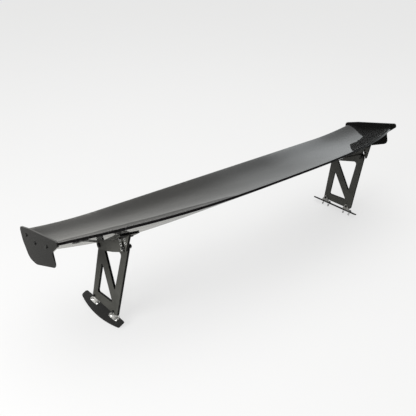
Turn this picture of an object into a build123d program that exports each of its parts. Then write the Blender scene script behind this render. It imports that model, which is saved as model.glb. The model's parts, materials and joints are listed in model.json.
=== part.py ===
from build123d import *
import os
from math import atan2, cos, degrees, hypot, pi, radians, sin, sqrt, tan

# Racing rear wing on two swan stands. Millimetres. +X is the car's right, +Y is forward,
# +Z is up. The origin lies on the mounting surface, under the middle of the wing.

# ---------------------------------------------------------------- driving dimensions
# Blade planform and front view: one shape law for each edge, from the centre to the tips
span = 1610.0                # over the end plates' outer faces, level with the origin
end_plate_t = 5.0
end_plate_toe = 1.4          # degrees, rear end outwards
le_y = 90.0                  # leading edge at the centre
le_z = 355.0
le_sweep = 86.0              # the outer leading edge stands this much further forward
le_drop = 53.0               # and this much lower
arch_half = 100.0            # half width of the straight middle
shoulder_x = span / 2 - 205  # where the outer leading edge is furthest forward
tip_start = span / 2 - 265   # from here outwards the leading edge rises again
tip_rise = 25.0
tip_pull = 8.0
te_y = -184.0                # trailing edge at the centre
te_z = 412.0
te_sweep = 138.0             # the trailing edge curves this much forward at the tips
te_sweep_power = 3.23
te_drop = 33.0
te_drop_power = 4.6

# Aerofoil: a cambered four-digit section turned upside down, with a blunt trailing edge
centre_camber = 0.095
outer_camber = 0.113
camber_place = 0.4
centre_thickness = 0.125
outer_thickness = 0.143
te_thickness = 8.0
skin_t = 2.0
bond_gap = 0.3               # adhesive line between the skins and what they hold
stations = 41
curve_points = 15

# Inner structure, as fractions of the chord
front_spar_u = 0.15
rear_spar_u = 0.66
spar_t = 3.0
rib_t = 4.0
rib_x = {"centre": 0.0, "inner": span / 2 - 555, "middle": span / 2 - 355, "outer": span / 2 - 85}
tip_rib_t = 6.0
tip_rib_front_u = 0.05
tip_rib_rear_u = 0.95
insert_t = 8.0

# End plates: corners as (y, z, corner radius)
end_plate_corners = [
    (188.5, 333, 14), (176, 291, 60), (138, 244, 45), (92, 243, 60),
    (-43, 298, 19), (-29, 343, 6), (-71, 381, 10), (-62, 394.5, 7), (122, 353, 90),
]
crease = ((112, 258), (-30, 345))   # the fin below this line bends inwards
crease_bend = 3.5
end_plate_screw_u = (0.10, 0.36, 0.74)
screw_r = 3.0                # M6
screw_hole_r = 3.3
screw_head_r = 5.5
screw_head_t = 3.3
thread_gap = 0.05
spot_face_depth = 0.5
spot_face_gap = 0.6

# Stands: flat plates that lean inboard, seen in their own plane as (y, height)
stand_x = span / 2 - 195     # middle of the plate at floor level
stand_lean = 5.0
stand_t = 8.0
stand_corners = [
    (113, 34, 7), (79, 268, 15), (34, 259, 25), (-82, 318, 14), (-34, 34, 7),
]
upper_window = [(52, 243, 4), (-15.5, 119, 3.5), (-46, 270, 9)]
lower_window = [(62, 188, 3), (83, 66, 5), (-5, 70, 5)]

# Pitch joint
pivot_y = 63.0
pivot_h = 252.0
pivot_r = 4.0                # M8
running_gap = 0.1
spacer_t = 1.6
spacer_r = 8.0
face_gap = 0.3
lock_radius = 142.2
lock_angle = 20.2            # above the rearward line through the pivot
lock_travel = 5.0            # either way
lock_slack = 1.4             # head clear of the cheek while the wing is being set
slot_side_gap = 0.6
slot_end_angle = 1.6
index_hole_r = 3.2
index_row_in = 129.0
index_row_out = 156.0
cheek_t = 8.0
cheek_lobe_r = 17.0
nut_r = 7.5
nut_t = 6.5
cap_r = 7.0
cap_t = 4.4
cap_edge_r = 2.4
cap_socket_r = 2.9
cap_socket_depth = 2.6
washer_edge = 0.6            # thin side of the tapered washers on the pivot line

# Blade brackets
saddle_t = 4.0
front_saddle_y = 70.0
front_saddle_width = 42.0
front_saddle_in = 72.0       # reach towards the middle of the car, and away from it
front_saddle_out = 86.0
rear_saddle_y = -73.0
rear_saddle_width = 46.0
rear_saddle_reach = 34.0
saddle_taper = 16.0
front_screw_offsets = (-58.0, -30.0, 34.0, 68.0)
rear_screw_offsets = (-22.0, 22.0)

# Feet
foot_cant = 27.0             # outboard side down, to sit on a curved boot lid
foot_x = stand_x - 1.7       # where the stand's middle plane meets the foot
foot_front_y = 170.0
foot_rear_y = -58.0
foot_in = 9.0                # straight inboard edge
foot_out = 32.0              # crown of the curved outboard edge
foot_crown_y = 50.0
foot_front_out = 15.0
foot_rear_out = 17.0
foot_front_r = 9.0
foot_rear_r = 5.0
foot_plate_t = 3.5
gasket_t = 1.5
foot_bracket_ys = (101.0, -13.5)
flange_length = 43.0
flange_t = 3.0
flange_in = 8.6              # reach inboard and outboard of the stand's middle plane
flange_out = 9.4
flange_corner_r = 3.0
upright_top = 52.0
upright_apex_r = 7.0
stud_pitch = 30.0
stud_offset = 2.6
stud_reach = 13.0            # below the gasket
stud_shoulder_r = 3.25       # centres the bolt in the bracket and the foot
stud_hole_r = 3.4
hex_r = 5.77                 # M6 hexagon over its corners
hex_t = 4.0
leg_screw_h = 41.0
leg_screw_r = 2.5            # M5
leg_hex_r = 4.62
leg_hex_t = 3.5
leg_nut_t = 4.7

# ---------------------------------------------------------------- derived sizes
blade_tip = span / 2 - end_plate_t
lean = radians(stand_lean)
cant = radians(foot_cant)
cheek_n = stand_t / 2 + spacer_t + face_gap
lock_y = pivot_y - lock_radius * cos(radians(lock_angle))
lock_h = pivot_h + lock_radius * sin(radians(lock_angle))
pivot_z = pivot_h * cos(lean)
pivot_x = stand_x - pivot_h * sin(lean)
toe = radians(end_plate_toe)
skin_end = blade_tip + 6.0
foot_z = foot_out * sin(cant) + (foot_plate_t + gasket_t) * cos(cant)
stand_plane = Plane(origin=(stand_x, 0, 0), x_dir=(0, 1, 0), z_dir=(cos(lean), 0, sin(lean)))
foot_plane = Plane(origin=(foot_x, 0, foot_z), x_dir=(0, 1, 0), z_dir=(sin(cant), 0, cos(cant)))
pivot_plane = Plane(origin=(pivot_x, pivot_y, pivot_z), x_dir=(0, 1, 0), z_dir=(1, 0, 0))
tip_plane = Plane(origin=(blade_tip, 0, 0), x_dir=(-sin(toe), cos(toe), 0), z_dir=(cos(toe), sin(toe), 0))
left_tip_plane = Plane(origin=(-blade_tip, 0, 0), x_dir=(0, 0, 1), z_dir=(-cos(toe), sin(toe), 0))

os.makedirs("parts", exist_ok=True)


# ---------------------------------------------------------------- blade shape
def smooth(t):
    t = min(max(t, 0.0), 1.0)
    return t * t * (3 - 2 * t)


def outer_share(x):
    """0 in the straight middle of the blade, 1 at its shoulders."""
    return smooth((abs(x) - arch_half) / (shoulder_x - arch_half))


def blade_edges(x):
    """Leading and trailing edge, each as (y, z), at a place along the span."""
    a = abs(x)
    share = outer_share(x)
    tip = max(0.0, (a - tip_start) / (blade_tip - tip_start)) ** 2
    along = a / blade_tip
    leading = (le_y + le_sweep * share - tip_pull * tip, le_z - le_drop * share + tip_rise * tip)
    trailing = (
        te_y + te_sweep * along ** te_sweep_power,
        te_z - te_drop * along ** te_drop_power,
    )
    return leading, trailing


def chord(x):
    (ly, lz), (ty, tz) = blade_edges(x)
    return hypot(ly - ty, tz - lz)


def surface_point(x, t, side):
    """A point of the section; t runs from 0 at the nose to 1 at the tail, side is +1 on top."""
    u = (1 - cos(pi * t)) / 2
    (ly, lz), (ty, tz) = blade_edges(x)
    length = chord(x)
    share = outer_share(x)
    camber = centre_camber + (outer_camber - centre_camber) * share
    thickness = centre_thickness + (outer_thickness - centre_thickness) * share
    if u < camber_place:
        mean = camber / camber_place ** 2 * (2 * camber_place * u - u * u)
    else:
        mean = camber / (1 - camber_place) ** 2 * (1 - 2 * camber_place + 2 * camber_place * u - u * u)
    half = 5 * thickness * (
        0.2969 * sqrt(u) - 0.1260 * u - 0.3516 * u ** 2 + 0.2843 * u ** 3 - 0.1036 * u ** 4
    )
    w = length * (side * half - mean)
    if side < 0:
        w -= te_thickness * u
    cy, cz = (ty - ly) / length, (tz - lz) / length
    return ly + cy * u * length + cz * w, lz + cz * u * length - cy * w


def blade_point(x, t, side, depth=0.0):
    """A point a given depth inside the blade; a negative depth is outside it."""
    step = 1e-4
    y, z = surface_point(x, t, side)
    ay, az = surface_point(x, max(t - step, 0.0), side)
    by, bz = surface_point(x, min(t + step, 1.0), side)
    size = hypot(by - ay, bz - az)
    ny, nz = -side * (bz - az) / size, side * (by - ay) / size
    return y + ny * depth, z + nz * depth


def share_of_chord(u):
    """The section's own parameter for a fraction of the chord."""
    return atan2(sqrt(u * (1 - u)) * 2, 1 - 2 * u) / pi


def param_under(x, y, depth=0.0):
    """The parameter where the underside, or a face alongside it, passes a given y."""
    low, high = 0.08, 1.0
    for _ in range(40):
        mid = (low + high) / 2
        if blade_point(x, mid, -1, depth)[0] > y:
            low = mid
        else:
            high = mid
    return (low + high) / 2


def blade_curve(x, t0, t1, side, depth, count=curve_points):
    return [blade_point(x, t0 + (t1 - t0) * i / (count - 1), side, depth) for i in range(count)]


def span_places(x0, x1, count):
    return [x0 + (x1 - x0) * i / (count - 1) for i in range(count)]


def write(part, name):
    part.label = name
    export_step(part, "parts/" + name + ".step")


def write_pair(part, name):
    """The right-hand piece as modelled, and its mirror image for the left."""
    write(part, "right_" + name)
    with BuildPart() as left:
        mirror(part, about=Plane.YZ)
    write(left.part, "left_" + name)


def rounded_face(corners):
    """A filled outline through corners given as (a, b, radius)."""
    with BuildSketch() as outline:
        with BuildLine():
            FilletPolyline(*[c[:2] for c in corners], radius=[c[2] for c in corners], close=True)
        make_face()
    return outline.sketch


def strip_face(x, top, bottom):
    """A face at one place along the span, between two curves that run opposite ways."""
    with BuildSketch(Plane.YZ.offset(x)) as section:
        with BuildLine():
            Spline(*top)
            Line(top[-1], bottom[0])
            Spline(*bottom)
            Line(bottom[-1], top[0])
        make_face()
    return section.sketch.face()


# ---------------------------------------------------------------- skins
def upper_skin_face(x):
    return strip_face(x, blade_curve(x, 0, 1, 1, 0), blade_curve(x, 1, 0, 1, skin_t))


def lower_skin_face(x):
    outer = blade_curve(x, 0, 1, -1, 0)
    inner = blade_curve(x, share_of_chord(1 - skin_t / chord(x)), 0, -1, skin_t)
    roof = blade_point(x, 1, 1, skin_t)
    roof_front = blade_point(x, share_of_chord(1 - skin_t / chord(x)), 1, skin_t)
    with BuildSketch(Plane.YZ.offset(x)) as section:
        with BuildLine():
            Spline(*outer)
            Polyline(outer[-1], roof, roof_front, inner[0])
            Spline(*inner)
            Line(inner[-1], outer[0])
        make_face()
    return section.sketch.face()


skin_places = span_places(-skin_end, skin_end, stations)
with BuildPart() as upper_skin:
    loft([upper_skin_face(x) for x in skin_places])
    for plane in (tip_plane, left_tip_plane):
        split(bisect_by=plane, keep=Keep.BOTTOM)
write(upper_skin.part, "upper_skin")

with BuildPart() as lower_skin:
    loft([lower_skin_face(x) for x in skin_places])
    for plane in (tip_plane, left_tip_plane):
        split(bisect_by=plane, keep=Keep.BOTTOM)


# ---------------------------------------------------------------- spars, ribs and inserts
def web_face(x, u, width):
    """A strip across the hollow of the blade, from skin to skin."""
    depth = skin_t + bond_gap
    half = width / 2 / chord(x)
    front, rear = share_of_chord(u - half), share_of_chord(u + half)
    with BuildSketch(Plane.YZ.offset(x)) as section:
        with BuildLine():
            Polyline(
                blade_point(x, front, 1, depth), blade_point(x, rear, 1, depth),
                blade_point(x, rear, -1, depth), blade_point(x, front, -1, depth), close=True,
            )
        make_face()
    return section.sketch.face()


def bay_face(x, u0, u1):
    """The hollow of the blade between two fractions of the chord."""
    depth = skin_t + bond_gap
    t0, t1 = share_of_chord(u0), share_of_chord(u1)
    return strip_face(x, blade_curve(x, t0, t1, 1, depth, 9), blade_curve(x, t1, t0, -1, depth, 9))


spar_end = blade_tip - tip_rib_t - 2 * bond_gap - le_y * 2 * tan(toe)
for spar_name, spar_u in (("front_spar", front_spar_u), ("rear_spar", rear_spar_u)):
    with BuildPart() as spar:
        loft([web_face(x, spar_u, spar_t) for x in span_places(-spar_end, spar_end, stations)])
    write(spar.part, spar_name)


def rib_face(x):
    clear = (spar_t / 2 + bond_gap) / chord(x)
    return bay_face(x, front_spar_u + clear, rear_spar_u - clear)


def make_rib(x):
    with BuildPart() as rib:
        loft([rib_face(x - rib_t / 2), rib_face(x + rib_t / 2)])
    return rib.part


for rib_name, x in rib_x.items():
    if x == 0:
        write(make_rib(x), rib_name + "_rib")
    else:
        write_pair(make_rib(x), rib_name + "_rib")

rib_inner = tip_plane.offset(-bond_gap - tip_rib_t)
end_plate_screws = []
for u in end_plate_screw_u:
    top = surface_point(blade_tip, share_of_chord(u), 1)
    bottom = surface_point(blade_tip, share_of_chord(u), -1)
    end_plate_screws.append(((top[0] + bottom[0]) / 2, (top[1] + bottom[1]) / 2))

tip_places = span_places(blade_tip - 16, blade_tip + 8, 4)
with BuildPart() as tip_rib:
    loft([bay_face(x, tip_rib_front_u, tip_rib_rear_u) for x in tip_places])
    split(bisect_by=tip_plane.offset(-bond_gap), keep=Keep.BOTTOM)
    split(bisect_by=rib_inner, keep=Keep.TOP)
    with BuildSketch(rib_inner):
        with Locations(*end_plate_screws):
            Circle(screw_r + thread_gap)
    extrude(amount=tip_rib_t, mode=Mode.SUBTRACT)
write_pair(tip_rib.part, "tip_rib")

# ---------------------------------------------------------------- end plates
plate_outer = tip_plane.offset(end_plate_t)
(crease_y0, crease_z0), (crease_y1, crease_z1) = crease
crease_start = plate_outer.from_local_coords(Vector(crease_y0, crease_z0, 0))
crease_up = plate_outer.y_dir * (crease_y0 - crease_y1) - plate_outer.x_dir * (crease_z0 - crease_z1)
fin_bend = radians(crease_bend)
fin_normal = plate_outer.z_dir * cos(fin_bend) - crease_up.normalized() * sin(fin_bend)
fin_face = Plane(origin=crease_start, z_dir=fin_normal)

with BuildPart() as end_plate:
    with BuildSketch(tip_plane):
        add(rounded_face(end_plate_corners))
        with Locations(*end_plate_screws):
            Circle(screw_hole_r, mode=Mode.SUBTRACT)
    extrude(amount=end_plate_t)
    split(bisect_by=fin_face, keep=Keep.BOTTOM)
write_pair(end_plate.part, "end_plate")

with BuildPart() as end_plate_bolts:
    with BuildSketch(plate_outer):
        with Locations(*end_plate_screws):
            Circle(screw_head_r)
    extrude(amount=screw_head_t)
    with BuildSketch(rib_inner):
        with Locations(*end_plate_screws):
            Circle(screw_r)
    extrude(amount=end_plate_t + bond_gap + tip_rib_t)
write_pair(end_plate_bolts.part, "end_plate_bolts")


# ---------------------------------------------------------------- blade brackets
cheek_out = cheek_n + cheek_t


def cheek_x(h):
    """Middle of the cheek at a height, out from the car's centre line."""
    return stand_x - h * sin(lean) + (cheek_n + cheek_t / 2) * cos(lean)


saddle_x = cheek_x(pivot_h)
rear_saddle_x = cheek_x(lock_h + 20)


def saddle_face(x, y_mid, width):
    """A strip under the blade, as thick as the saddle."""
    t0, t1 = param_under(x, y_mid + width / 2), param_under(x, y_mid - width / 2)
    return strip_face(
        x, blade_curve(x, t0, t1, -1, -face_gap, 7), blade_curve(x, t1, t0, -1, -face_gap - saddle_t, 7),
    )


def insert_face(x, y_mid, width):
    """A block bonded on the inside of the lower skin, over a saddle."""
    depth = skin_t + bond_gap
    t0, t1 = param_under(x, y_mid + width / 2), param_under(x, y_mid - width / 2)
    bottom = blade_curve(x, t0, t1, -1, depth, 7)
    with BuildSketch(Plane.YZ.offset(x)) as section:
        with BuildLine():
            Spline(*bottom)
            Polyline(
                bottom[-1], blade_point(x, t1, -1, depth + insert_t),
                blade_point(x, t0, -1, depth + insert_t), bottom[0],
            )
        make_face()
    return section.sketch.face()


def saddle_z(x, y):
    """Height of the saddle's lower side at a place on the plan."""
    depth = -face_gap - saddle_t
    return blade_point(x, param_under(x, y, depth), -1, depth)[1]


def screw_plane(x, y):
    """The spot face on the saddle's lower side, with its normal pointing into the blade."""
    slope_x = (saddle_z(x + 1, y) - saddle_z(x - 1, y)) / 2
    slope_y = (saddle_z(x, y + 1) - saddle_z(x, y - 1)) / 2
    normal = (-slope_x, -slope_y, 1)
    return Plane(origin=(x, y, saddle_z(x, y)), x_dir=(1, 0, slope_x), z_dir=normal).offset(spot_face_depth)


saddle_screws = [screw_plane(saddle_x + dx, front_saddle_y) for dx in front_screw_offsets]
saddle_screws += [screw_plane(rear_saddle_x + dx, rear_saddle_y) for dx in rear_screw_offsets]
screw_length = face_gap + saddle_t + skin_t + bond_gap + insert_t - spot_face_depth

cheek_ys = span_places(pivot_y + 14, rear_saddle_y - rear_saddle_width / 2 + 2, 7)
cheek_top = []
for y in cheek_ys:
    x = cheek_x(300)
    py, pz = blade_point(x, param_under(x, y), -1, -face_gap - saddle_t * 0.7)
    cheek_top.append((py, pz / cos(lean)))

front_places = span_places(saddle_x - front_saddle_in, saddle_x + front_saddle_out, 7)
rear_places = span_places(rear_saddle_x - rear_saddle_reach, rear_saddle_x + rear_saddle_reach, 3)


def front_width(x):
    """The front saddle narrows evenly towards its two ends."""
    return front_saddle_width - saddle_taper * abs(x - saddle_x) / front_saddle_out


slot_sweep = lock_travel + slot_end_angle
slot_line = CenterArc((0, 0), lock_radius, 180 - lock_angle - slot_sweep, 2 * slot_sweep)

with BuildPart() as blade_bracket:
    loft([saddle_face(x, front_saddle_y, front_width(x)) for x in front_places])
    loft([saddle_face(x, rear_saddle_y, rear_saddle_width) for x in rear_places])
    with BuildSketch(stand_plane.offset(cheek_n)):
        with BuildLine():
            Spline(*cheek_top)
            Polyline(cheek_top[-1], (lock_y - 11, lock_h - 8), (lock_y + 22, lock_h - 24))
            Spline((lock_y + 22, lock_h - 24), (5, 254), (pivot_y - 12, pivot_h - 12))
            Line((pivot_y - 12, pivot_h - 12), cheek_top[0])
        make_face()
        with Locations((pivot_y, pivot_h)):
            Circle(cheek_lobe_r)
    extrude(amount=cheek_t)
    with BuildSketch(stand_plane.offset(cheek_n)):
        with Locations((pivot_y, pivot_h)):
            with PolarLocations(index_row_in, 3, start_angle=180 - lock_angle - 10.4, angular_range=13.0,
                                endpoint=True):
                Circle(index_hole_r)
            with PolarLocations(index_row_out, 2, start_angle=180 - lock_angle - 9.6, angular_range=4.2,
                                endpoint=True):
                Circle(index_hole_r)
            SlotArc(slot_line, height=2 * (pivot_r + slot_side_gap))
    extrude(amount=cheek_t, mode=Mode.SUBTRACT)
    with BuildSketch(pivot_plane):
        Circle(pivot_r + running_gap)
    extrude(amount=2 * cheek_out, mode=Mode.SUBTRACT)
    for plane in saddle_screws:
        with BuildSketch(plane):
            Circle(screw_hole_r)
        extrude(amount=saddle_t + 1, mode=Mode.SUBTRACT)
        with BuildSketch(plane):
            Circle(screw_head_r + spot_face_gap)
        extrude(amount=-screw_head_t, mode=Mode.SUBTRACT)
write_pair(blade_bracket.part, "blade_bracket")

with BuildPart() as front_insert:
    loft([insert_face(x, front_saddle_y, front_saddle_width - saddle_taper) for x in front_places])
    for plane in saddle_screws[:4]:
        with BuildSketch(plane):
            Circle(screw_r + thread_gap)
        extrude(amount=2 * screw_length, mode=Mode.SUBTRACT)
write_pair(front_insert.part, "front_insert")

with BuildPart() as rear_insert:
    loft([insert_face(x, rear_saddle_y, rear_saddle_width - saddle_taper) for x in rear_places])
    for plane in saddle_screws[4:]:
        with BuildSketch(plane):
            Circle(screw_r + thread_gap)
        extrude(amount=2 * screw_length, mode=Mode.SUBTRACT)
write_pair(rear_insert.part, "rear_insert")

with BuildPart() as bracket_screws:
    for plane in saddle_screws:
        with BuildSketch(plane.offset(-screw_head_t)):
            Circle(screw_head_r)
        extrude(amount=screw_head_t)
        with BuildSketch(plane):
            Circle(screw_r)
        extrude(amount=screw_length)
write_pair(bracket_screws.part, "bracket_screws")

with BuildPart() as skin_drills:
    for plane in saddle_screws:
        with BuildSketch(plane.offset(saddle_t - 2)):
            Circle(screw_hole_r)
        extrude(amount=skin_t + 4)
    mirror(about=Plane.YZ)

with BuildPart() as drilled_skin:
    add(lower_skin.part)
    add(skin_drills.part, mode=Mode.SUBTRACT)
write(drilled_skin.part, "lower_skin")

# ---------------------------------------------------------------- stand plates
foot_screws = [(y, leg_screw_h) for y in foot_bracket_ys]
leg_hole_r = leg_screw_r + screw_hole_r - screw_r

with BuildPart() as stand_plate:
    with BuildSketch(stand_plane.offset(-stand_t / 2)):
        add(rounded_face(stand_corners))
        add(rounded_face(upper_window), mode=Mode.SUBTRACT)
        add(rounded_face(lower_window), mode=Mode.SUBTRACT)
        with Locations((lock_y, lock_h)):
            Circle(pivot_r + running_gap, mode=Mode.SUBTRACT)
        with Locations((pivot_y, pivot_h)):
            with PolarLocations(index_row_in, 1, start_angle=180 - lock_angle + 2.6):
                Circle(index_hole_r, mode=Mode.SUBTRACT)
        with Locations(*foot_screws):
            Circle(leg_hole_r, mode=Mode.SUBTRACT)
    extrude(amount=stand_t)
    with BuildSketch(pivot_plane):
        Circle(pivot_r + running_gap)
    extrude(amount=2 * stand_t, both=True, mode=Mode.SUBTRACT)
write_pair(stand_plate.part, "stand_plate")


# ---------------------------------------------------------------- pitch joint hardware
def make_button_screw(seat, place, shaft):
    """A socket button screw: its head stands on the seat plane, its shaft runs below it."""
    with BuildPart() as screw:
        with BuildSketch(seat):
            with Locations(place):
                Circle(cap_r)
        extrude(amount=cap_t)
        top = screw.faces().sort_by(Axis(seat.origin, seat.z_dir))[-1]
        fillet(top.edges(), radius=cap_edge_r)
        with BuildSketch(seat.offset(cap_t - cap_socket_depth)):
            with Locations(place):
                RegularPolygon(cap_socket_r, 6)
        extrude(amount=cap_socket_depth, mode=Mode.SUBTRACT)
        with BuildSketch(seat.offset(-shaft)):
            with Locations(place):
                Circle(pivot_r)
        extrude(amount=shaft)
    return screw.part


def make_nuts(plane, places, radius, bore, thickness):
    with BuildPart() as nuts:
        with BuildSketch(plane):
            with Locations(*places):
                RegularPolygon(radius, 6)
                Circle(bore, mode=Mode.SUBTRACT)
        extrude(amount=thickness)
    return nuts.part


def make_tapered_washer(seat, face, keep):
    """Between the leaning plate's face and a seat square to the pivot line."""
    with BuildPart() as washer:
        with BuildSketch(pivot_plane):
            Circle(spacer_r)
            Circle(pivot_r + running_gap, mode=Mode.SUBTRACT)
        extrude(amount=seat)
        split(bisect_by=face, keep=keep)
    return washer.part


taper = spacer_r * tan(lean) + washer_edge
outer_face = stand_plane.offset(cheek_out + face_gap)
inner_face = stand_plane.offset(-stand_t / 2)
outer_seat = (cheek_out + face_gap) / cos(lean) + taper
inner_seat = stand_t / 2 / cos(lean) + taper
bolt_tail = nut_t + 2

with BuildPart() as pivot_washers:
    add(make_tapered_washer(outer_seat, outer_face, Keep.TOP))
    add(make_tapered_washer(-inner_seat, inner_face, Keep.BOTTOM))
write_pair(pivot_washers.part, "pivot_washers")

pivot_shaft = outer_seat + inner_seat + bolt_tail
lock_shaft = cheek_out + lock_slack + stand_t / 2 + bolt_tail
write_pair(make_button_screw(pivot_plane.offset(outer_seat), (0, 0), pivot_shaft), "pivot_bolt")
write_pair(
    make_button_screw(stand_plane.offset(cheek_out + lock_slack), (lock_y, lock_h), lock_shaft),
    "lock_bolt",
)
write_pair(
    make_nuts(pivot_plane.offset(-inner_seat - nut_t), [(0, 0)], nut_r, pivot_r + thread_gap, nut_t),
    "pivot_nut",
)
write_pair(
    make_nuts(inner_face.offset(-nut_t), [(lock_y, lock_h)], nut_r, pivot_r + thread_gap, nut_t),
    "lock_nut",
)

with BuildPart() as pivot_spacer:
    with BuildSketch(stand_plane.offset(stand_t / 2)):
        with Locations((pivot_y, pivot_h)):
            Circle(spacer_r)
    extrude(amount=spacer_t)
    with BuildSketch(pivot_plane):
        Circle(pivot_r + running_gap)
    extrude(amount=2 * stand_t, mode=Mode.SUBTRACT)
write_pair(pivot_spacer.part, "pivot_spacer")


# ---------------------------------------------------------------- feet
def stud_places():
    places = []
    for y in foot_bracket_ys:
        places += [(y - stud_pitch / 2, -stud_offset), (y + stud_pitch / 2, -stud_offset)]
    return places


def make_foot_layer(start, thickness):
    """A layer of the foot, straight inboard and curved outboard, measured down from its top face."""
    with BuildPart() as layer:
        with BuildSketch(foot_plane.offset(-start - thickness)) as outline:
            with BuildLine():
                Polyline(
                    (foot_rear_y, -foot_rear_out), (foot_rear_y, foot_in),
                    (foot_front_y, foot_in), (foot_front_y, -foot_front_out),
                )
                ThreePointArc(
                    (foot_front_y, -foot_front_out), (foot_crown_y, -foot_out), (foot_rear_y, -foot_rear_out),
                )
            make_face()
            fillet(outline.vertices().sort_by(Axis.X)[:2], radius=foot_rear_r)
            fillet(outline.vertices().sort_by(Axis.X)[-2:], radius=foot_front_r)
            with Locations(*stud_places()):
                Circle(stud_hole_r, mode=Mode.SUBTRACT)
        extrude(amount=thickness)
    return layer.part


write_pair(make_foot_layer(0, foot_plate_t), "foot_plate")
write_pair(make_foot_layer(foot_plate_t, gasket_t), "foot_gasket")


def make_foot_bracket(y):
    """An angle bracket: a flange on the foot and a triangular upright on the stand."""
    upright_foot = foot_z + flange_in * sin(cant) + 1.0
    with BuildPart() as bracket:
        with BuildSketch(foot_plane):
            with Locations((y, (flange_in - flange_out) / 2)):
                RectangleRounded(flange_length, flange_in + flange_out, flange_corner_r)
            with Locations((y - stud_pitch / 2, -stud_offset), (y + stud_pitch / 2, -stud_offset)):
                Circle(stud_hole_r, mode=Mode.SUBTRACT)
        extrude(amount=flange_t)
        with BuildSketch(inner_face.offset(-flange_t)):
            add(rounded_face([
                (y - flange_length / 2 + 1, upright_foot, 1), (y + flange_length / 2 - 1, upright_foot, 1),
                (y, upright_top + upright_apex_r, upright_apex_r),
            ]))
            with Locations((y, leg_screw_h)):
                Circle(leg_hole_r, mode=Mode.SUBTRACT)
        extrude(amount=flange_t)
    return bracket.part


for bracket_name, y in zip(("front_foot_bracket", "rear_foot_bracket"), foot_bracket_ys):
    write_pair(make_foot_bracket(y), bracket_name)

with BuildPart() as foot_bolts:
    with BuildSketch(foot_plane.offset(flange_t)):
        with Locations(*stud_places()):
            RegularPolygon(hex_r, 6)
    extrude(amount=hex_t)
    with BuildSketch(foot_plane.offset(-foot_plate_t - gasket_t)):
        with Locations(*stud_places()):
            Circle(stud_shoulder_r)
    extrude(amount=foot_plate_t + gasket_t + flange_t)
    with BuildSketch(foot_plane.offset(-foot_plate_t - gasket_t - stud_reach)):
        with Locations(*stud_places()):
            Circle(screw_r)
    extrude(amount=stud_reach)
write_pair(foot_bolts.part, "foot_bolts")

leg_head_n = -stand_t / 2 - flange_t
with BuildPart() as leg_bolts:
    with BuildSketch(stand_plane.offset(leg_head_n - leg_hex_t)):
        with Locations(*foot_screws):
            RegularPolygon(leg_hex_r, 6)
    extrude(amount=leg_hex_t)
    with BuildSketch(stand_plane.offset(leg_head_n)):
        with Locations(*foot_screws):
            Circle(leg_screw_r)
    extrude(amount=flange_t + stand_t + leg_nut_t + 1)
write_pair(leg_bolts.part, "leg_bolts")
write_pair(
    make_nuts(
        stand_plane.offset(stand_t / 2), foot_screws, leg_hex_r, leg_screw_r + thread_gap, leg_nut_t,
    ),
    "leg_nuts",
)

print("pivot axis at y", pivot_y, "z", round(pivot_z, 3))
print("foot height under the stand", round(foot_z, 3))
print("tip chord", round(chord(blade_tip), 1), "centre chord", round(chord(0), 1))
print("incidence at the centre", round(degrees(atan2(te_z - le_z, le_y - te_y)), 1))
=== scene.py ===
import json
from math import cos, pi, radians, sin

import bpy
from mathutils import Matrix, Vector


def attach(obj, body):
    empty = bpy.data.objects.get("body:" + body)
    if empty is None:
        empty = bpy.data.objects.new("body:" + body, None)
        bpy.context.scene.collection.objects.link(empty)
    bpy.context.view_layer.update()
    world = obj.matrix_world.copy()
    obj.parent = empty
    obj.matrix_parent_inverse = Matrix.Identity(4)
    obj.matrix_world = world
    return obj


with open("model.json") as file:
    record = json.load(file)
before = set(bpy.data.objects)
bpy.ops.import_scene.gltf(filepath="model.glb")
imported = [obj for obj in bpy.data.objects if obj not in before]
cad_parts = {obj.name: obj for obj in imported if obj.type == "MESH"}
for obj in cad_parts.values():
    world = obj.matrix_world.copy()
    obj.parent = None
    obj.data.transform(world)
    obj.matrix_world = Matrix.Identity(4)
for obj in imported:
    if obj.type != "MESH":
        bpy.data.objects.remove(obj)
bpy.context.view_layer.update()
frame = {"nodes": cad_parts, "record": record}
nodes = frame["nodes"]

# ---------------------------------------------------------------- shader helpers


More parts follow.
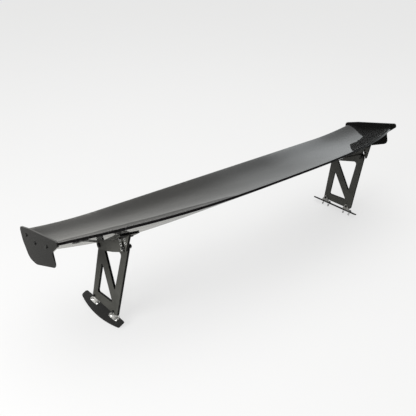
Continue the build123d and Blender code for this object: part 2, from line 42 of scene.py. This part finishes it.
class Shader:
    """A node material under construction. Every method returns an output socket."""

    def __init__(self, name):
        self.material = bpy.data.materials.new(name)
        self.material.use_nodes = True
        self.tree = self.material.node_tree
        self.tree.nodes.clear()
        self.bsdf = self.tree.nodes.new("ShaderNodeBsdfPrincipled")
        output = self.tree.nodes.new("ShaderNodeOutputMaterial")
        self.tree.links.new(self.bsdf.outputs["BSDF"], output.inputs["Surface"])

    def set(self, **values):
        for key, value in values.items():
            socket = self.bsdf.inputs[key.replace("_", " ")]
            if isinstance(value, bpy.types.NodeSocket):
                self.tree.links.new(value, socket)
            else:
                socket.default_value = value
        return self

    def feed(self, node, key, value):
        if isinstance(value, bpy.types.NodeSocket):
            self.tree.links.new(value, node.inputs[key])
        else:
            node.inputs[key].default_value = value

    def position(self):
        return self.tree.nodes.new("ShaderNodeTexCoord").outputs["Object"]

    def axes(self, vector):
        split = self.tree.nodes.new("ShaderNodeSeparateXYZ")
        self.feed(split, 0, vector)
        return split.outputs

    def math(self, operation, a, b=0.0):
        node = self.tree.nodes.new("ShaderNodeMath")
        node.operation = operation
        self.feed(node, 0, a)
        self.feed(node, 1, b)
        return node.outputs[0]

    def stretch(self, vector, scale):
        node = self.tree.nodes.new("ShaderNodeMapping")
        self.feed(node, "Vector", vector)
        node.inputs["Scale"].default_value = scale
        return node.outputs[0]

    def noise(self, vector, scale, detail=3.0, rough=0.5):
        node = self.tree.nodes.new("ShaderNodeTexNoise")
        self.feed(node, "Vector", vector)
        node.inputs["Scale"].default_value = scale
        node.inputs["Detail"].default_value = detail
        node.inputs["Roughness"].default_value = rough
        return node.outputs["Fac"]

    def span(self, value, low, high, out_low=0.0, out_high=1.0):
        node = self.tree.nodes.new("ShaderNodeMapRange")
        for key, number in zip(
            ("Value", "From Min", "From Max", "To Min", "To Max"),
            (value, low, high, out_low, out_high),
        ):
            self.feed(node, key, number)
        return node.outputs["Result"]

    def colour(self, share, dark, light):
        node = self.tree.nodes.new("ShaderNodeMix")
        node.data_type = "RGBA"
        self.feed(node, 0, share)
        node.inputs[6].default_value = (*dark, 1)
        node.inputs[7].default_value = (*light, 1)
        return node.outputs[2]

    def bump(self, height, strength, distance, normal=None):
        node = self.tree.nodes.new("ShaderNodeBump")
        node.inputs["Strength"].default_value = strength
        node.inputs["Distance"].default_value = distance
        self.feed(node, "Height", height)
        if normal is not None:
            self.feed(node, "Normal", normal)
        return node.outputs[0]

    def flat_face(self, axis):
        """1 on faces square to the axis, 0 on the edges of a sheet."""
        normal = self.tree.nodes.new("ShaderNodeNewGeometry").outputs["True Normal"]
        across = self.math("ABSOLUTE", self.axes(normal)["XYZ".index(axis)])
        return self.span(across, 0.6, 0.9)

    def rounded(self, radius):
        node = self.tree.nodes.new("ShaderNodeBevel")
        node.inputs["Radius"].default_value = radius
        return node.outputs[0]


def twill(s, across, along, tow):
    """Two-by-two twill: 1 where the crosswise tow lies on top, and the height of the tows."""
    u = s.math("DIVIDE", across, tow)
    v = s.math("DIVIDE", along, tow)
    step = s.math("ADD", s.math("FLOOR", u), s.math("FLOOR", v))
    on_top = s.math("GREATER_THAN", s.math("FLOORED_MODULO", step, 4.0), 1.5)
    ridge_u = s.math("PINGPONG", u, 0.5)
    ridge_v = s.math("PINGPONG", v, 0.5)
    over = s.math("MULTIPLY", ridge_v, on_top)
    under = s.math("MULTIPLY", ridge_u, s.math("SUBTRACT", 1.0, on_top))
    return on_top, s.math("ADD", over, under)


def lip_line(s, place):
    """0 along the moulded line that runs in front of the blade's trailing edge, 1 elsewhere."""
    x, y, _ = s.axes(place)
    reach = s.math("POWER", s.math("DIVIDE", s.math("ABSOLUTE", x), TIP_X), SWEEP_POWER)
    edge_y = s.math("ADD", s.math("MULTIPLY", reach, TE_SWEEP), TE_Y)
    ahead = s.math("SUBTRACT", s.math("SUBTRACT", y, edge_y), LIP)
    return s.span(s.math("ABSOLUTE", ahead), 0.0004, 0.0011)


def carbon(name, plane, tow, dark, light, coat_rough, base_rough, lip=False):
    """Woven carbon under clear lacquer; plane names the two axes that the cloth lies along."""
    s = Shader(name)
    place = s.position()
    parts = s.axes(place)
    across, along = (parts["XYZ".index(axis)] for axis in plane)
    on_top, height = twill(s, across, along, tow)
    blotch = s.noise(place, 9.0, 4.0, 0.6)
    fibre = s.noise(place, 900.0, 2.0, 0.7)
    # partly painted sheen: the crosswise tows on top and the crown of each tow are coloured lighter, as if
    # catching the light; the fibre noise is the cloth's own grain
    lit = s.math("ADD", s.math("MULTIPLY", on_top, 0.55), s.math("MULTIPLY", height, 0.6))
    lit = s.math("ADD", lit, s.math("MULTIPLY", fibre, 0.25))
    base = s.colour(lit, dark, light)
    rough = s.span(blotch, 0.3, 0.7, base_rough, base_rough + 0.08)
    coat = s.span(s.noise(place, 2.5, 5.0, 0.65), 0.3, 0.7, 0.9, 1.0)
    s.set(Base_Color=base, Roughness=rough, Coat_Weight=coat)
    s.set(Coat_Roughness=coat_rough, Coat_IOR=1.55, Specular_IOR_Level=0.05)
    s.set(Normal=s.bump(height, 0.12, 0.0002))
    surface = s.math("MULTIPLY", s.noise(place, 5.0, 1.0, 0.3), 0.02)
    if lip:
        surface = s.math("ADD", surface, lip_line(s, place))
    s.set(Coat_Normal=s.bump(surface, 0.3, 0.0008))
    return s.material


def painted(
    name, dark, light, rough, grain=700.0, grain_depth=0.25, edge=0.0006, metallic=0.0,
    painted_edge_shade=False,
):
    """Powder coat or anodising: fine grain, faint patches and softened edges."""
    s = Shader(name)
    place = s.position()
    fine = s.noise(place, grain, 3.0, 0.6)
    patch = s.noise(place, 18.0, 5.0, 0.62)
    share = s.span(s.math("ADD", fine, patch), 0.7, 1.3)
    base = s.colour(share, dark, light)
    # painted shade: faces not square to X, the plates' edges, are coloured near black and given weaker
    # reflection
    if painted_edge_shade:
        node = s.tree.nodes.new("ShaderNodeMix")
        node.data_type = "RGBA"
        s.feed(node, 0, s.flat_face("X"))
        node.inputs[6].default_value = (0.003, 0.003, 0.003, 1)
        s.feed(node, 7, base)
        base = node.outputs[2]
        s.set(Specular_IOR_Level=s.span(s.flat_face("X"), 0.0, 1.0, 0.1, 0.5))
    s.set(Base_Color=base, Metallic=metallic)
    s.set(Roughness=s.span(patch, 0.3, 0.7, rough - 0.05, rough + 0.06))
    s.set(Normal=s.bump(fine, grain_depth, 0.0002, s.rounded(edge)))
    return s.material


def brushed(name, dark, light, rough, along, edge=0.0006):
    """Bare metal with fine lines along one axis."""
    s = Shader(name)
    place = s.position()
    scale = [1.0 if axis == along else 24.0 for axis in "XYZ"]
    lines = s.noise(s.stretch(place, scale), 90.0, 4.0, 0.7)
    patch = s.noise(place, 30.0, 4.0, 0.6)
    s.set(Base_Color=s.colour(lines, dark, light), Metallic=1.0)
    s.set(Roughness=s.span(patch, 0.3, 0.7, rough - 0.06, rough + 0.08), Anisotropic=0.3)
    s.set(Normal=s.bump(lines, 0.12, 0.0001, s.rounded(edge)))
    return s.material


def rubber(name):
    s = Shader(name)
    place = s.position()
    cells = s.noise(place, 1500.0, 2.0, 0.8)
    s.set(Base_Color=s.colour(cells, (0.012, 0.012, 0.012), (0.03, 0.03, 0.03)), Roughness=0.85)
    s.set(Normal=s.bump(cells, 0.5, 0.0003))
    return s.material


TIP_X, TE_Y, TE_SWEEP, SWEEP_POWER = 0.8, -0.184, 0.138, 3.23   # trailing edge in plan
LIP = 0.013                             # the moulded line's distance ahead of that edge

TOW = 0.002                             # width of one carbon tow

looks = {
    "skin": carbon(
        "blade_carbon", "XY", TOW, (0.002, 0.002, 0.002), (0.008, 0.008, 0.008), 0.02, 0.4, lip=True,
    ),
    "plate": carbon(
        "plate_carbon", "YZ", TOW, (0.002, 0.002, 0.002), (0.009, 0.009, 0.0085), 0.03, 0.4,
    ),
    "inner": carbon("inner_carbon", "XZ", TOW, (0.01, 0.01, 0.01), (0.04, 0.04, 0.04), 0.4, 0.5),
    "stand": painted(
        "stand_coat", (0.042, 0.042, 0.037), (0.07, 0.07, 0.062), 0.42, painted_edge_shade=True,
    ),
    "bracket": painted(
        "bracket_anodised", (0.066, 0.066, 0.058), (0.108, 0.108, 0.095), 0.42, 1100.0,
        painted_edge_shade=True,
    ),
    "foot": painted("foot_coat", (0.001, 0.001, 0.001), (0.007, 0.007, 0.0065), 0.72, 260.0, 0.6),
    "bolt": painted("bolt_black", (0.03, 0.03, 0.03), (0.08, 0.08, 0.078), 0.26, 1500.0, 0.1, 0.0005, 0.7),
    # painted glint: a light-grey, non-metallic finish for the rings round the index holes, so they show as
    # bright spots
    "glint_paint": painted("painted_glint_rim", (0.7, 0.7, 0.68), (0.86, 0.86, 0.84), 0.3, 1800.0, 0.1, 0.0003, 0.2),
    "bright": brushed("bracket_bright", (0.78, 0.78, 0.76), (0.95, 0.95, 0.93), 0.42, "Y"),
    "zinc": brushed("stud_zinc", (0.42, 0.42, 0.42), (0.7, 0.7, 0.69), 0.34, "Z", 0.0004),
    "insert": brushed("insert_alloy", (0.5, 0.5, 0.5), (0.75, 0.75, 0.75), 0.4, "X"),
    "rubber": rubber("gasket_rubber"),
}

slot_looks = {
    "carbon_laminate": "skin", "inner_carbon": "inner", "insert_alloy": "insert",
    "black_plate": "stand", "black_bracket": "bracket", "foot_black": "foot",
    "foam_rubber": "rubber", "bright_alloy": "bright", "zinc_steel": "zinc", "black_steel": "bolt",
}
for entry in frame["record"]["subparts"]:
    look = slot_looks[entry["material_slot"]]
    if entry["node"].endswith("end_plate"):
        look = "plate"
    for slot in nodes[entry["node"]].material_slots:
        slot.material = looks[look]

# ---------------------------------------------------------------- painted glints: light rims round drilled holes
LEAN = radians(5.0)                     # the stands' plates, and the cheeks on them
STAND_X, CHEEK_FACE = 0.610, 0.0139
PIVOT_Y, PIVOT_H, LOCK_ANGLE = 0.063, 0.252, 20.2
HOLE_R, RIM = 0.0032, 0.0016            # the index holes and the width of the light ring painted round them as a glint
RIM_RISE, RIM_TUCK, RIM_DEPTH = 0.00015, 0.00002, 0.0012
SEGMENTS = 40


def rim(centre, across, up, out):
    """A thin ring around one hole, painted light as a glint: corners and faces of its top and its outer
    wall.
    """
    points, faces = [], []
    for k in range(SEGMENTS):
        a = 2 * pi * k / SEGMENTS
        ray = across * cos(a) + up * sin(a)
        points += [
            centre + ray * (HOLE_R + RIM) + out * RIM_TUCK,
            centre + ray * (HOLE_R + RIM * 0.8) + out * RIM_RISE,
            centre + ray * HOLE_R + out * RIM_RISE,
            centre + ray * HOLE_R - out * RIM_DEPTH,
        ]
    for k in range(SEGMENTS):
        a, b = 4 * k, 4 * ((k + 1) % SEGMENTS)
        faces += [(a + i, b + i, b + i + 1, a + i + 1) for i in range(3)]
    return points, faces


def rims(name, side, places, offset, outwards, body):
    """Rings on a leaning plate; places are (y, height in the plate) pairs, outwards is 1 or -1."""
    normal = Vector((side * cos(LEAN), 0, sin(LEAN)))
    up = Vector((-side * sin(LEAN), 0, cos(LEAN)))
    across = Vector((0, 1, 0))
    base = Vector((side * STAND_X, 0, 0)) + normal * offset
    points, faces = [], []
    for y, h in places:
        ring, quads = rim(base + across * y + up * h, across, up, normal * outwards)
        faces += [tuple(i + len(points) for i in quad) for quad in quads]
        points += ring
    mesh = bpy.data.meshes.new(name)
    mesh.from_pydata(points, [], faces)
    if side * outwards < 0:
        mesh.flip_normals()
    mesh.materials.append(looks["glint_paint"])
    piece = bpy.data.objects.new(name, mesh)
    bpy.context.scene.collection.objects.link(piece)
    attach(piece, body)


def on_arc(radius, degrees):
    """A place on an arc about the pivot, as (y, height in the plate)."""
    a = radians(degrees)
    return PIVOT_Y + radius * cos(a), PIVOT_H + radius * sin(a)


INNER_ROW, INNER_START, INNER_STEP = 0.129, -10.4, 6.5
OUTER_ROW, OUTER_START, OUTER_STEP = 0.156, -9.6, 4.2
rearwards = 180 - LOCK_ANGLE
inner_row = [on_arc(INNER_ROW, rearwards + INNER_START + INNER_STEP * k) for k in range(3)]
outer_row = [on_arc(OUTER_ROW, rearwards + OUTER_START + OUTER_STEP * k) for k in range(2)]
for side, label in ((-1, "left"), (1, "right")):
    rims(label + "_cheek_rims", side, inner_row + outer_row, CHEEK_FACE, 1, "wing")

# ---------------------------------------------------------------- studio
WALL_NEAR, WALL_SIDE, WALL_FAR, CEILING, PAPER = 0.05, 0.2, 0.62, 0.9, 1.1   # brightness
HIGH_WALL = 0.72                        # share of a wall's brightness left at its top
WARM, COOL = (1.0, 0.99, 0.945), (0.93, 0.975, 1.0)
FLOOR_HALF, FLOOR_GLOW = 40.0, 0.69
FLOOR_DARK, FLOOR_LIGHT = 0.17, 0.175

floor_mesh = bpy.data.meshes.new("floor")
floor_mesh.from_pydata(
    [(x * FLOOR_HALF, y * FLOOR_HALF, 0) for x, y in ((-1, -1), (1, -1), (1, 1), (-1, 1))],
    [], [(0, 1, 2, 3)],
)
floor = bpy.data.objects.new("floor", floor_mesh)
bpy.context.scene.collection.objects.link(floor)
floor_look = Shader("floor_paper")
paper = floor_look.noise(floor_look.position(), 3.0, 4.0, 0.5)
floor_look.set(
    Base_Color=floor_look.colour(paper, (FLOOR_DARK,) * 3, (FLOOR_LIGHT,) * 3), Roughness=0.9,
    Specular_IOR_Level=0.0, Emission_Color=(1.0, 1.0, 1.0, 1.0), Emission_Strength=FLOOR_GLOW,
)
floor.data.materials.append(floor_look.material)
floor.visible_glossy = False

world = bpy.data.worlds.new("studio")
bpy.context.scene.world = world
world.use_nodes = True


class Sky(Shader):
    """The studio around the object, as a function of direction."""

    def __init__(self):
        self.tree = world.node_tree
        self.tree.nodes.clear()
        self.background = self.tree.nodes.new("ShaderNodeBackground")
        output = self.tree.nodes.new("ShaderNodeOutputWorld")
        self.tree.links.new(self.background.outputs[0], output.inputs["Surface"])

    def direction(self):
        return self.tree.nodes.new("ShaderNodeTexCoord").outputs["Generated"]

    def towards(self, x, y):
        parts = self.axes(self.direction())
        return self.math("ADD", self.math("MULTIPLY", parts[0], x), self.math("MULTIPLY", parts[1], y))


sky = Sky()
height = sky.axes(sky.direction())[2]
FAR_X, FAR_Y = 0.66, 0.75               # the way to the bright wall behind the object
far_side = sky.towards(FAR_X, FAR_Y)
wall = sky.math(
    "ADD", sky.span(far_side, -0.1, 0.35, WALL_NEAR, WALL_SIDE),
    sky.span(far_side, 0.35, 0.85, 0.0, WALL_FAR - WALL_SIDE),
)
wall = sky.math("MULTIPLY", wall, sky.span(height, 0.12, 0.42, 1.0, HIGH_WALL))
ceiling = sky.span(height, 0.45, 0.9, 0.0, CEILING)
paper_light = sky.span(height, -0.6, -0.9, 0.0, PAPER)
sky.feed(sky.background, "Strength", sky.math("ADD", sky.math("ADD", wall, ceiling), paper_light))
sky.feed(sky.background, "Color", sky.colour(sky.span(sky.towards(1.0, 0.0), 0.45, 0.85), WARM, COOL))


def softbox(name, place, target, size, power):
    light = bpy.data.lights.new(name, "AREA")
    light.shape = "RECTANGLE"
    light.size, light.size_y = size
    light.energy = power
    box = bpy.data.objects.new(name, light)
    bpy.context.scene.collection.objects.link(box)
    box.location = place
    box.rotation_euler = (Vector(target) - Vector(place)).to_track_quat("-Z", "Y").to_euler()


softbox("key", (-0.2, 0.3, 3.6), (0, 0, 0.2), (4.5, 3.4), 90.0)
softbox("fill", (-3.0, -0.4, 1.5), (-0.4, 0, 0.2), (1.6, 1.2), 85.0)

# ---------------------------------------------------------------- camera
camera = bpy.data.objects.new("camera", bpy.data.cameras.new("camera"))
bpy.context.scene.collection.objects.link(camera)
EYE, LENS = (-1.4281, -1.3735, 1.2218), 51.79
right = Vector((0.7548, -0.6554, 0.0252))
back = Vector((-0.5925, -0.6648, 0.4552)).normalized()
right = (right - back * right.dot(back)).normalized()
turn = Matrix((right, back.cross(right), back)).transposed().to_4x4()
camera.matrix_world = Matrix.Translation(EYE) @ turn
camera.data.lens = LENS
camera.data.sensor_width = 36.0
camera.data.clip_start = 0.05
camera.data.clip_end = 200.0
bpy.context.scene.camera = camera
bpy.context.scene.view_settings.view_transform = "Standard"
